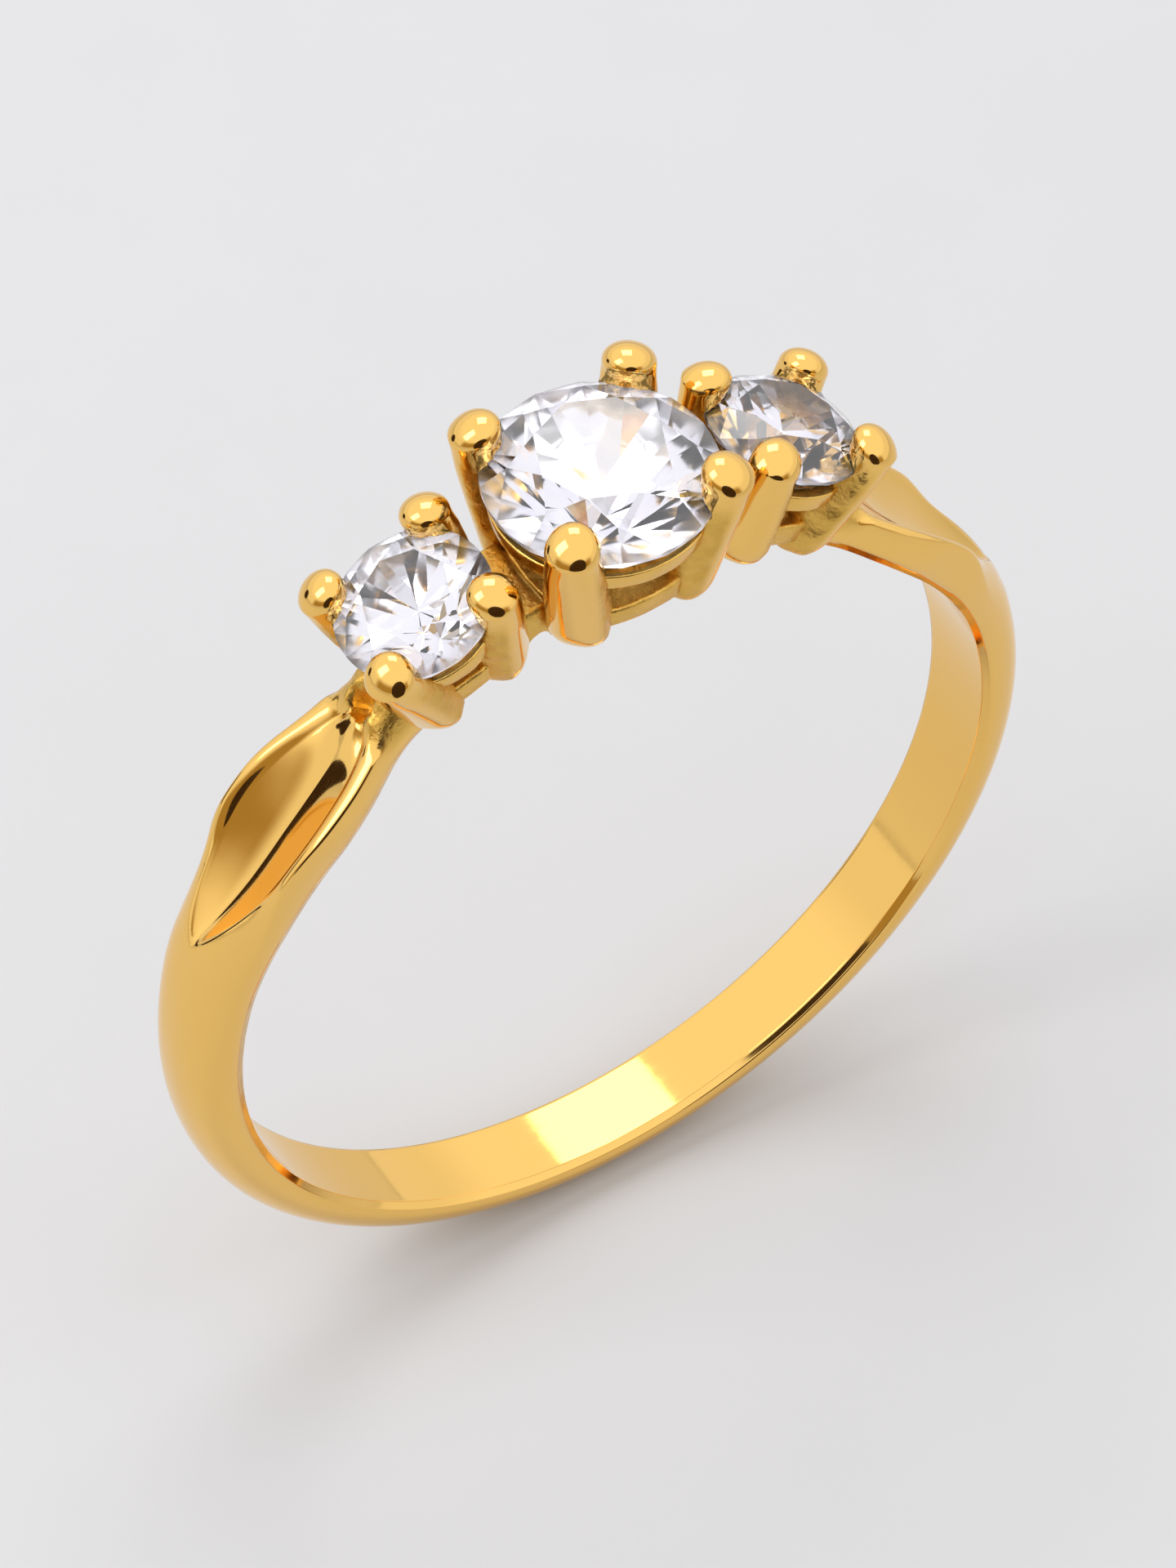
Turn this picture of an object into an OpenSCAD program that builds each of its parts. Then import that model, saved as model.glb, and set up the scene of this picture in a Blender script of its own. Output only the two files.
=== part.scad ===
// Three-stone ring: a D-section shank with leaf-shaped hollows in its shoulders, and a head of three
// four-claw collets, each holding a round brilliant.
// The origin is the centre of the finger hole, whose axis lies along Y. The centre stone faces +Z.
// Angles along the shank are counted from its bottom, at -Z, towards the head.

/* [Finger hole] */
// Inside diameter of the ring
finger_d = 17; // [14:0.1:22]

/* [Shank] */
// Width of the shank at its bottom
band_w = 1.75; // [1.4:0.05:2.6]
// Thickness of the shank at its bottom
band_t = 1.01; // [0.8:0.01:1.8]
// Height of the upright edge between the finger hole and the dome, at the bottom
edge_h = 0.25; // [0.1:0.01:0.5]
// Width of the shank at its shoulders
shoulder_w = 2.38; // [1.8:0.02:3.2]
// Extra thickness that the shank would gain by the top of the finger hole
shoulder_rise = 0.22; // [0.06:0.01:0.5]
// Width of the shank where it meets the head
neck_w = 1.56; // [1.2:0.02:2]
// Radius of the side scoops that draw the shoulder in to the neck
neck_r = 9; // [6:0.5:14]

/* [Shoulder hollow] */
// Angle of the lower tip of the hollow
hollow_from = 111; // [105:0.5:118]
// Angle of the upper tip of the hollow
hollow_to = 148; // [142:0.5:150]
// Metal left between the finger hole and the deepest point of the hollow
hollow_floor = 0.42; // [0.3:0.02:0.8]
// Slope of each facet of the hollow at its middle crease
facet_slope = 17; // [8:1:28]
// Radius of each facet across the hollow
facet_r = 2; // [1.6:0.1:4]

/* [Centre stone] */
// Diameter of the centre stone
centre_d = 4.5; // [3.5:0.05:6.5]
// Height of the centre girdle above the finger hole
centre_lift = 2.76; // [2.6:0.02:3.6]

/* [Side stones] */
// Diameter of each side stone
side_d = 3.12; // [2.4:0.02:4.4]
// Height of each side girdle above the finger hole
side_lift = 2.35; // [2.2:0.02:3]
// Gap between neighbouring stones, seen from above
stone_gap = 0.23; // [0.2:0.01:0.6]

/* [Brilliant cut] */
// Width of the table, as a share of the stone
table_share = 0.57; // [0.5:0.01:0.64]
// Angle of the crown mains
crown_angle = 34.5; // [30:0.5:37]
// Angle of the pavilion mains
pavilion_angle = 40.8; // [39.5:0.1:42.5]
// Thickness of the girdle, as a share of the stone
girdle_share = 0.03; // [0.015:0.005:0.05]

/* [Claws] */
// Thickness of the claws of the centre collet
centre_claw_d = 1; // [0.8:0.02:1.3]
// Thickness of the claws of the side collets
side_claw_d = 0.94; // [0.7:0.02:1.15]
// How far the centre line of a claw's tip stands outside the girdle
claw_out = 0.16; // [0.1:0.01:0.3]
// Height of a claw tip's centre above the girdle, as a share of the stone
tip_share = 0.11; // [0.09:0.005:0.14]
// Lean of the claws from the collet's axis
claw_lean = 14; // [6:0.5:18]
// Gap between a stone and the metal around it
seat_gap = 0.02; // [0.01:0.005:0.05]

/* [Rails] */
// Height of each upper gallery rail
gallery_h = 0.4; // [0.3:0.02:0.6]
// Drop from the girdle to the top of the gallery rail
gallery_drop = 0.42; // [0.3:0.02:0.6]
// Gap between the edge of the gallery rail and the edge of the girdle, seen from above
gallery_inset = 0.1; // [0.02:0.01:0.3]
// Wall of the gallery rail
gallery_wall = 0.7; // [0.6:0.02:0.9]
// Height of each lower base rail
base_h = 0.55; // [0.4:0.05:0.8]
// Height of the bottom of the base rail above the finger hole
base_rise = 0.42; // [0.2:0.02:0.6]
// Wall of the base rail
base_wall = 0.8; // [0.7:0.02:0.9]
// How far the base rail stands outside the middles of the claws, at its top
base_out = 0.02; // [0:0.02:0.2]

/* [Bridges] */
// How much wider each bridge is than the clear space between the claws of the centre collet
bridge_w = 0.394; // [0.1:0.002:0.8]
// Length of each bridge, before it is fitted between the collets
bridge_l = 1; // [0.8:0.05:1.2]
// Height of the bottom of the bridge above the finger hole
bridge_rise = 0.3; // [0.1:0.02:0.6]
// Height of each bridge
bridge_h = 0.95; // [0.6:0.05:1.2]
// Diameter of the arch under each bridge
arch_d = 0.5; // [0.3:0.02:0.6]

/* [Hidden] */
$fn = 64;

gold = "#dfb45c";
crystal = "#e6e8f2";

// Fineness of the large round surfaces
fine = 256;
// How far one outline runs into the next, so that the two join
overlap = 0.01;

finger_r = finger_d / 2;

// Lean of each side collet: it points straight away from the finger hole.
side_angle = asin((centre_d / 2 + side_d / 2 + stone_gap) / (finger_r + side_lift));

// ---- Shank ----

// The outline is a circle set higher than the finger hole, so that the shank thickens as it climbs.
rise_offset = shoulder_rise / 2;
crest_r = finger_r + band_t + rise_offset;
dome_h = band_t - edge_h;
dome_r = (pow(band_w / 2, 2) + pow(dome_h, 2)) / (2 * dome_h);

// The shank is where two discs cross. Each has one domed side, and leans about the bottom of the
// shank, so that their domed sides spread apart towards the shoulders.
hollow_middle = (hollow_from + hollow_to) / 2;
bottom_r = finger_r + band_t;
lean = atan((shoulder_w - band_w) / 2 / (bottom_r * (1 - cos(hollow_middle))));
// Slope of the crest on a disc's plain side. It is steeper than the angle between the two discs, so
// that they cross cleanly.
crest_margin = 0.7;
crest_slope = 2 * abs(lean) + crest_margin;
// Length of a cut that passes right through the shank, along the finger hole
through = 4 * shoulder_w;

// Thickness of the shank at an angle
function thick(a) = band_t + rise_offset * (1 - cos(a));

module disc_outline() {
    plain = shoulder_w;
    intersection() {
        translate([0, -overlap]) square([crest_r, band_w / 2 + overlap]);
        union() {
            translate([crest_r - dome_r, 0]) circle(r = dome_r);
            translate([0, -overlap]) square([crest_r - dome_h, band_w / 2 + overlap]);
        }
    }
    polygon([[0, -plain], [crest_r + plain * tan(crest_slope), -plain], [crest_r, 0], [0, 0]]);
}

// side is 1 for the disc whose dome faces +Y and -1 for the other.
module leaning_disc(side) {
    translate([0, 0, -bottom_r])
        rotate([-side * lean, 0, 0])
            translate([0, 0, bottom_r + rise_offset])
                rotate([-side * 90, 0, 0])
                    rotate_extrude($fn = fine) disc_outline();
}

// The wheel that cuts a hollow: its edge is the crease, and its flanks are the two facets.
module hollow_wheel(side) {
    half = (hollow_to - hollow_from) / 2;
    tip_r = finger_r + thick(hollow_from);
    floor_r = finger_r + hollow_floor;
    sag = tip_r * cos(half) - floor_r;
    wheel_r = (pow(tip_r * sin(half), 2) + sag * sag) / (2 * sag);
    rotate([0, -side * hollow_middle, 0])
        translate([0, 0, -floor_r - wheel_r])
            rotate([90, 0, 0])
                rotate_extrude($fn = fine)
                    translate([wheel_r, 0])
                        intersection_for(flank = [-1, 1])
                            translate([-facet_r * cos(facet_slope), flank * facet_r * sin(facet_slope)])
                                circle(r = facet_r);
}

// The scoops stand where the shank meets the base rail of its side collet.
neck_angle = 180 - side_angle - atan(base_r(side_d, side_lift) / (finger_r + base_rise));

module neck_scoops(side) {
    // From within the finger hole to as far beyond the shank
    scoop_h = 3 * band_t;
    for (face = [-1, 1])
        rotate([0, -side * neck_angle, 0])
            translate([0, face * (neck_w / 2 + neck_r), band_t - finger_r - scoop_h])
                cylinder(h = scoop_h, r = neck_r, $fn = fine);
}

// The gap between the shank's two ends. Its sides cross the shank on the axes of the side collets,
// where the width of each base rail covers them.
module head_gap() {
    half = (finger_r + band_t / 2) * sin(side_angle);
    translate([-half, -through / 2, 0]) cube([2 * half, through, finger_d]);
}

// ---- Brilliants: girdle at z = 0, table up ----

mains = 8;
half_turn = 180 / mains;
// Where the star facets and the lower halves end, as shares of the stone's radius
star_share = 0.78;
lower_share = 0.28;

function half_girdle(d) = girdle_share * d / 2;
function table_r(d) = table_share * d / 2;
function crown_z(d, x) = half_girdle(d) + (d / 2 - x) * tan(crown_angle);
function pavilion_z(d, x) = -half_girdle(d) - (d / 2 - x) * tan(pavilion_angle);

// Radius and height of the corners where star facets meet, lying in the planes of the crown mains
function star_r(d) = star_share * d / 2;
function star_z(d) = crown_z(d, star_r(d) * cos(half_turn));

// Radius and height of the corners where lower halves meet, lying in the planes of the pavilion mains
function lower_r(d) = lower_share * d / 2;
function lower_z(d) = pavilion_z(d, lower_r(d) * cos(half_turn));

function ring_points(r, z, count, turn) =
    [for (k = [0 : count - 1]) [r * cos(turn + 360 * k / count), r * sin(turn + 360 * k / count), z]];

// A round brilliant: a table, 8 stars, 8 crown mains, 16 upper halves, a faceted girdle, 16 lower
// halves and 8 pavilion mains
module brilliant(d) {
    n = mains;
    points = [
        each ring_points(table_r(d), crown_z(d, table_r(d)), n, 0),
        each ring_points(star_r(d), star_z(d), n, half_turn),
        each ring_points(d / 2, half_girdle(d), 2 * n, 0),
        each ring_points(d / 2, -half_girdle(d), 2 * n, 0),
        each ring_points(lower_r(d), lower_z(d), n, half_turn),
        [0, 0, pavilion_z(d, 0)]
    ];
    star = n;
    top = 2 * n;
    low = 4 * n;
    lower = 6 * n;
    culet = 7 * n;
    faces = [
        [for (k = [n - 1 : -1 : 0]) k],
        for (k = [0 : n - 1])
            let (next = (k + 1) % n, last = (k + n - 1) % n, g = 2 * k, g2 = (2 * k + 2) % (2 * n))
            each [
                [k, next, star + k],
                [k, star + k, top + g, star + last],
                [star + k, top + g + 1, top + g],
                [star + k, top + g2, top + g + 1],
                [top + g, top + g + 1, low + g + 1, low + g],
                [top + g + 1, top + g2, low + g2, low + g + 1],
                [lower + k, low + g, low + g + 1],
                [lower + k, low + g + 1, low + g2],
                [culet, lower + last, low + g, lower + k]
            ]
    ];
    polyhedron(points, faces);
}

// The round solid that the stone just fills, grown by gap: it shapes every seat.
module stone_envelope(d, gap) {
    rotate_extrude()
        polygon([
            [0, pavilion_z(d, 0) - gap],
            [lower_r(d) + gap, lower_z(d) - gap],
            [d / 2 + gap, -half_girdle(d) - gap],
            [d / 2 + gap, half_girdle(d) + gap],
            [star_r(d) + gap, star_z(d) + gap],
            [table_r(d), crown_z(d, table_r(d)) + gap],
            [0, crown_z(d, table_r(d)) + gap]
        ]);
}

// ---- Collets: each is built on the Z axis with its girdle at z = 0 ----

// Height of a claw tip's centre above the girdle, and its distance from the collet's axis
function tip_h(d) = tip_share * d;
function tip_reach(d) = d / 2 + claw_out;

// Distance from the collet's axis to the middle of a claw, at a height above the girdle
function claw_reach(d, z) = tip_reach(d) - (tip_h(d) - z) * tan(claw_lean);

// Heights of the base rail, from the girdle
function base_low(lift) = base_rise - lift;
function base_top(lift) = base_low(lift) + base_h;

// The rails are as wide as a circle through the middles of the claws, less what they are set in.
function base_r(d, lift) = claw_reach(d, base_top(lift)) + base_out;
function gallery_r(d) = d / 2 - gallery_inset;

module at_centre() {
    translate([0, 0, finger_r + centre_lift]) children();
}

// Side collets: side is -1 for left and 1 for right.
module at_side(side) {
    rotate([0, side * side_angle, 0]) translate([0, 0, finger_r + side_lift]) children();
}

// One claw: a leaning round wire with a round tip, and a round foot that just clears the finger hole
module claw_wire(d, wire, lift) {
    length = (tip_h(d) + lift - wire / 2) / cos(claw_lean);
    translate([tip_reach(d), 0, tip_h(d)])
        rotate([0, claw_lean, 0]) {
            sphere(d = wire);
            translate([0, 0, -length]) {
                cylinder(h = length, d = wire);
                sphere(d = wire);
            }
        }
}

module four_claws(d, wire, lift) {
    for (turn = [45 : 90 : 315]) rotate([0, 0, turn]) claw_wire(d, wire, lift);
}

// A claw notched to take the girdle of its stone
module claw(d, wire, lift, turn) {
    color(gold)
        rotate([0, 0, turn])
            difference() {
                claw_wire(d, wire, lift);
                stone_envelope(d, seat_gap);
            }
}

module centre_claw(turn) {
    at_centre() claw(centre_d, centre_claw_d, centre_lift, turn);
}

module side_claw(side, turn) {
    at_side(side) claw(side_d, side_claw_d, side_lift, turn);
}

// The bearing under the girdle: its seat follows the pavilion, and it is notched for the claws.
module gallery_rail(d, wire, lift) {
    color(gold)
        difference() {
            translate([0, 0, -gallery_drop - gallery_h]) cylinder(h = gallery_h, r = gallery_r(d));
            translate([0, 0, -gallery_drop - 2 * gallery_h])
                cylinder(h = 3 * gallery_h, r = gallery_r(d) - gallery_wall);
            stone_envelope(d, seat_gap);
            four_claws(d, wire, lift);
        }
}

// The ring at the foot of a collet, notched for the claws
module base_rail(d, wire, lift) {
    color(gold)
        difference() {
            translate([0, 0, base_low(lift)]) cylinder(h = base_h, r = base_r(d, lift));
            translate([0, 0, base_low(lift) - base_h])
                cylinder(h = 3 * base_h, r = base_r(d, lift) - base_wall);
            four_claws(d, wire, lift);
        }
}

// What a neighbour has to keep out of: the whole width of the base rail, above and below it as well
module rail_room(d, lift) {
    translate([0, 0, -2 * lift]) cylinder(h = 3 * lift, r = base_r(d, lift));
}

// The claws' wires run straight on past their feet, so that a bridge leaves no sliver beneath one.
module claw_room(d, wire, lift) {
    for (turn = [45 : 90 : 315])
        rotate([0, 0, turn])
            translate([tip_reach(d), 0, tip_h(d)])
                rotate([0, claw_lean, 0])
                    translate([0, 0, -2 * lift]) cylinder(h = 2 * lift, d = wire);
}

module side_room(side) {
    at_side(side) {
        rail_room(side_d, side_lift);
        four_claws(side_d, side_claw_d, side_lift);
    }
}

// ---- Bridges ----

// The bridge stands halfway across the gap between the two base rails.
rail_middle = finger_r + base_rise + base_h / 2;
bridge_angle =
    (atan(base_r(centre_d, centre_lift) / rail_middle) + side_angle
    - atan(base_r(side_d, side_lift) / rail_middle)) / 2;

// Clear space between two neighbouring claws of the centre collet, at that height
claw_space =
    2 * claw_reach(centre_d, base_low(centre_lift) + base_h / 2) * sin(45) - centre_claw_d;

module bridge(side) {
    whole_w = claw_space + bridge_w;
    color(gold)
        difference() {
            rotate([0, side * bridge_angle, 0])
                translate([-bridge_l / 2, -whole_w / 2, finger_r + bridge_rise])
                    cube([bridge_l, whole_w, bridge_h]);
            rotate([0, side * bridge_angle, 0])
                translate([0, 0, finger_r + bridge_rise])
                    rotate([90, 0, 0]) cylinder(h = 2 * whole_w, d = arch_d, center = true);
            at_centre() {
                rail_room(centre_d, centre_lift);
                claw_room(centre_d, centre_claw_d, centre_lift);
            }
            at_side(side) {
                rail_room(side_d, side_lift);
                claw_room(side_d, side_claw_d, side_lift);
            }
        }
}

// ---- One module for each node ----

module shank() {
    color(gold)
        difference() {
            intersection() {
                leaning_disc(-1);
                leaning_disc(1);
            }
            rotate([90, 0, 0]) cylinder(h = through, r = finger_r, center = true, $fn = fine);
            head_gap();
            for (side = [-1, 1]) {
                hollow_wheel(side);
                neck_scoops(side);
                side_room(side);
            }
        }
}

module centre_stone() {
    color(crystal) at_centre() brilliant(centre_d);
}

module left_stone() {
    color(crystal) at_side(-1) brilliant(side_d);
}

module right_stone() {
    color(crystal) at_side(1) brilliant(side_d);
}

module centre_claw_front_left() {
    centre_claw(225);
}

module centre_claw_front_right() {
    centre_claw(315);
}

module centre_claw_back_left() {
    centre_claw(135);
}

module centre_claw_back_right() {
    centre_claw(45);
}

module left_claw_front_outer() {
    side_claw(-1, 225);
}

module left_claw_front_inner() {
    side_claw(-1, 315);
}

module left_claw_back_outer() {
    side_claw(-1, 135);
}

module left_claw_back_inner() {
    side_claw(-1, 45);
}

module right_claw_front_inner() {
    side_claw(1, 225);
}

module right_claw_front_outer() {
    side_claw(1, 315);
}

module right_claw_back_inner() {
    side_claw(1, 135);
}

module right_claw_back_outer() {
    side_claw(1, 45);
}

module centre_gallery_rail() {
    at_centre() gallery_rail(centre_d, centre_claw_d, centre_lift);
}

module left_gallery_rail() {
    at_side(-1) gallery_rail(side_d, side_claw_d, side_lift);
}

module right_gallery_rail() {
    at_side(1) gallery_rail(side_d, side_claw_d, side_lift);
}

module centre_base_rail() {
    at_centre() base_rail(centre_d, centre_claw_d, centre_lift);
}

module left_base_rail() {
    at_side(-1) base_rail(side_d, side_claw_d, side_lift);
}

module right_base_rail() {
    at_side(1) base_rail(side_d, side_claw_d, side_lift);
}

module left_bridge() {
    bridge(-1);
}

module right_bridge() {
    bridge(1);
}

shank();
centre_stone();
left_stone();
right_stone();
centre_claw_front_left();
centre_claw_front_right();
centre_claw_back_left();
centre_claw_back_right();
left_claw_front_outer();
left_claw_front_inner();
left_claw_back_outer();
left_claw_back_inner();
right_claw_front_inner();
right_claw_front_outer();
right_claw_back_inner();
right_claw_back_outer();
centre_gallery_rail();
left_gallery_rail();
right_gallery_rail();
centre_base_rail();
left_base_rail();
right_base_rail();
left_bridge();
right_bridge();
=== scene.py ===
import logging
import math
from dataclasses import dataclass, field
from enum import Enum

import bmesh
import bpy
from mathutils import Matrix, Vector, noise


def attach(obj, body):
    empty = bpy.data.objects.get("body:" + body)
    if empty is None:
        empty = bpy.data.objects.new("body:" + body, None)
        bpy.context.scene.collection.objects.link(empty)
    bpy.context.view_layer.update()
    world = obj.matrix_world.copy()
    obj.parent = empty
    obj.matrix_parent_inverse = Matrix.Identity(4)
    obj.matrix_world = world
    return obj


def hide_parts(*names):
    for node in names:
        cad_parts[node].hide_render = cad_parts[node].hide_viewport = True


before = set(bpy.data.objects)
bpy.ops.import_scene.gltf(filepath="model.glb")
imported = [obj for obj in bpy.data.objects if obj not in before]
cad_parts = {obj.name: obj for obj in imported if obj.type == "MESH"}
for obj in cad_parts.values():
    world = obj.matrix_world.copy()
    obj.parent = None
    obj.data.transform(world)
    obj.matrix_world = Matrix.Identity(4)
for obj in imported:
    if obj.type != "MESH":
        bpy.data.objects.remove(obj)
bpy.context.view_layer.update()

BODY = "root"
MM = 0.001  # metres in a millimetre
FINGER_R = 8.5  # radius of the finger hole, in millimetres
WELD = 0.0005  # points nearer than this merge, in millimetres
SOFT_TURN = 40.0  # claws, rails and bridges keep an edge crisp above this angle, in degrees
LOG = logging.getLogger("ring")
Colour = tuple[float, float, float, float]
Triple = tuple[float, float, float]
Material = bpy.types.Material
Socket = bpy.types.NodeSocket


class Slot(Enum):
    """The record's material slots."""

    GOLD = "gold"
    STONE = "stone"


class Side(Enum):
    """The side of the ring that a piece stands on."""

    LEFT = -1
    CENTRE = 0
    RIGHT = 1


# ---- Small sums ----


def mix(low: float, high: float, share: float) -> float:
    """Return the value a share of the way from low to high."""
    return low + (high - low) * share


def ease(low: float, high: float, value: float) -> float:
    """Rise smoothly from 0 to 1 as a value goes from low to high."""
    share = min(1.0, max(0.0, (value - low) / (high - low)))
    return share * share * (3.0 - 2.0 * share)


def squared(value: float, power: float) -> float:
    """Push a sine or cosine towards the side of a square.

    Args:
        value: The sine or cosine.
        power: 2 keeps a circle, and more makes it squarer.

    Returns:
        The value on a superellipse of that power.
    """
    return math.copysign(abs(value) ** (2.0 / power), value)


def add_object(name: str, mesh: bmesh.types.BMesh, material: Material) -> bpy.types.Object:
    """Put a mesh into the scene.

    Args:
        name: Name of the new object and of its mesh.
        mesh: The mesh, which is used up.
        material: The material that covers it.

    Returns:
        The new object.
    """
    data = bpy.data.meshes.new(name)
    mesh.to_mesh(data)
    mesh.free()
    data.materials.append(material)
    thing = bpy.data.objects.new(name, data)
    bpy.context.scene.collection.objects.link(thing)
    return thing


def spin_all(mesh: bmesh.types.BMesh, axis: str, turn: float, steps: int) -> None:
    """Spin all of a mesh round an axis through the origin, and join its ends if it comes round.

    Args:
        mesh: The mesh.
        axis: X, Y or Z.
        turn: Angle of the spin, in degrees.
        steps: Steps of the spin.
    """
    bmesh.ops.spin(
        mesh,
        geom=mesh.verts[:] + mesh.edges[:] + mesh.faces[:],
        cent=(0.0, 0.0, 0.0),
        axis=[float(axis == word) for word in "XYZ"],
        angle=math.radians(turn),
        steps=steps,
        use_merge=turn == 360.0,
        use_duplicate=False,
    )


def soften(mesh: bmesh.types.BMesh, points: list[bmesh.types.BMVert], soft: float, rows: int) -> None:
    """Round off the corners of an outline.

    Args:
        mesh: The mesh that holds the outline.
        points: Its corners.
        soft: How far each corner is softened.
        rows: Edges round each corner.
    """
    bmesh.ops.bevel(
        mesh,
        geom=points,
        offset=soft,
        offset_type="OFFSET",
        segments=rows,
        profile=0.5,
        affect="VERTICES",
        material=-1,
    )


# ---- Finishes ----


@dataclass
class Graph:
    """A material's node tree, with short ways to add to it.

    Attributes:
        material: The material that the tree belongs to.
    """

    material: Material

    def add(self, kind: str, **settings: object) -> bpy.types.Node:
        """Add a node.

        Args:
            kind: The node's type name.
            **settings: Attributes of the node to set.

        Returns:
            The new node.
        """
        node = self.material.node_tree.nodes.new(kind)
        for name, value in settings.items():
            setattr(node, name, value)
        return node

    def feed(self, node: bpy.types.Node, **inputs: object) -> bpy.types.Node:
        """Set or link a node's inputs by name, with _ for a space.

        Args:
            node: The node to feed.
            **inputs: Values, or sockets to link from.

        Returns:
            The same node.
        """
        for name, value in inputs.items():
            socket = node.inputs[name.replace("_", " ")]
            if isinstance(value, Socket):
                self.material.node_tree.links.new(value, socket)
            else:
                socket.default_value = value
        return node

    def place_mm(self, stretch: Triple = (1.0, 1.0, 1.0)) -> Socket:
        """Return the object coordinates in millimetres, stretched along each axis."""
        mapping = self.add("ShaderNodeMapping")
        scale = tuple(part / MM for part in stretch)
        self.feed(mapping, Vector=self.add("ShaderNodeTexCoord").outputs["Object"], Scale=scale)
        return mapping.outputs["Vector"]

    def noise(self, place: Socket, scale: float, detail: float) -> Socket:
        """Return the strength of a noise pattern, with scale in waves per millimetre."""
        pattern = self.add("ShaderNodeTexNoise")
        self.feed(pattern, Vector=place, Scale=scale, Detail=detail)
        return pattern.outputs["Fac"]

    def times(self, first: Socket, second: object) -> Socket:
        """Return the product of a socket and a socket or number."""
        node = self.add("ShaderNodeMath", operation="MULTIPLY")
        node.inputs[1].default_value = 1.0
        self.material.node_tree.links.new(first, node.inputs[0])
        if isinstance(second, Socket):
            self.material.node_tree.links.new(second, node.inputs[1])
        else:
            node.inputs[1].default_value = second
        return node.outputs["Value"]

    def spread(self, value: Socket, low: float, high: float) -> Socket:
        """Return the middle of a pattern's range spread out over low to high."""
        node = self.add("ShaderNodeMapRange")
        self.feed(node, Value=value, From_Min=0.3, From_Max=0.7, To_Min=low, To_Max=high)
        return node.outputs["Result"]

    def blend(self, share: Socket, low: object, high: object, kind: str = "FLOAT") -> Socket:
        """Mix two values or colours by a share.

        Args:
            share: The share, from 0 to 1.
            low: A number, colour or socket for share 0.
            high: A number, colour or socket for share 1.
            kind: FLOAT or RGBA.

        Returns:
            The mixed socket.
        """
        node = self.add("ShaderNodeMix", data_type=kind)
        first, second, result = (2, 3, 0) if kind == "FLOAT" else (6, 7, 2)
        links = self.material.node_tree.links
        links.new(share, node.inputs[0])
        for index, value in ((first, low), (second, high)):
            if isinstance(value, Socket):
                links.new(value, node.inputs[index])
            else:
                node.inputs[index].default_value = value
        return node.outputs[result]


def start_graph(name: str) -> tuple[Graph, bpy.types.Node]:
    """Make a material whose tree holds only its shader and output.

    Args:
        name: The material's name.

    Returns:
        The graph and its shader node.
    """
    material = bpy.data.materials.new(name)
    material.use_nodes = True
    return Graph(material), material.node_tree.nodes["Principled BSDF"]


@dataclass(frozen=True)
class GoldFinish:
    """Polished yellow gold, with the cast skin that is left where no wheel can reach, coloured darker
    there as painted shade.

    The point attribute that the material reads says how much of that skin and its painted shade a place
    has, from 0 to 1.

    Attributes:
        name: The material's name.
        colour: Colour of the polished metal.
        cast_and_shade_colour: Colour of the cast skin, darkened as painted shade for the hidden faces and
            hollows it covers.
        polish: Roughness of the polished metal.
        cast_polish: Roughness of the cast skin.
        ripple: Height of the polishing ripples, in millimetres.
        grain: Height of the casting grain, in millimetres.
    """

    name: str
    colour: Colour = (0.92, 0.57, 0.155, 1.0)
    cast_and_shade_colour: Colour = (0.66, 0.40, 0.075, 1.0)
    polish: float = 0.075
    cast_polish: float = 0.36
    ripple: float = 0.006
    grain: float = 0.022

    def material(self) -> Material:
        """Build the material and return it."""
        graph, shader = start_graph(self.name)
        place = graph.place_mm()
        cast_and_shade = graph.add("ShaderNodeAttribute", attribute_name="cast_and_shade").outputs["Fac"]
        patches = graph.spread(graph.noise(place, scale=2.2, detail=3.0), low=0.55, high=1.0)
        # The cast share darkens the colour: painted shade on hidden faces, under the head and in the pit,
        # over the cast skin's real roughness and grain.
        skin_and_shade = graph.times(cast_and_shade, patches)

        wheel = graph.noise(graph.place_mm(stretch=(1.0, 14.0, 1.0)), scale=1.6, detail=3.0)
        gloss = graph.spread(wheel, low=self.polish * 0.7, high=self.polish * 1.4)
        sand = graph.noise(place, scale=7.0, detail=3.0)
        dull = graph.spread(sand, low=self.cast_polish * 0.7, high=self.cast_polish * 1.3)
        graph.feed(
            shader,
            Base_Color=graph.blend(skin_and_shade, self.colour, self.cast_and_shade_colour, "RGBA"),
            Roughness=graph.blend(cast_and_shade, gloss, dull),
        )
        shader.inputs["Metallic"].default_value = 1.0

        ripples = graph.add("ShaderNodeBump")
        waves = graph.noise(place, scale=0.9, detail=1.0)
        graph.feed(ripples, Height=waves, Distance=self.ripple * MM, Strength=1.0)
        grains = graph.add("ShaderNodeBump")
        height = graph.times(graph.noise(place, scale=9.0, detail=4.0), cast_and_shade)
        graph.feed(grains, Height=height, Distance=self.grain * MM, Strength=1.0)
        graph.feed(grains, Normal=ripples.outputs["Normal"])
        graph.feed(shader, Normal=grains.outputs["Normal"])
        return graph.material


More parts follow.
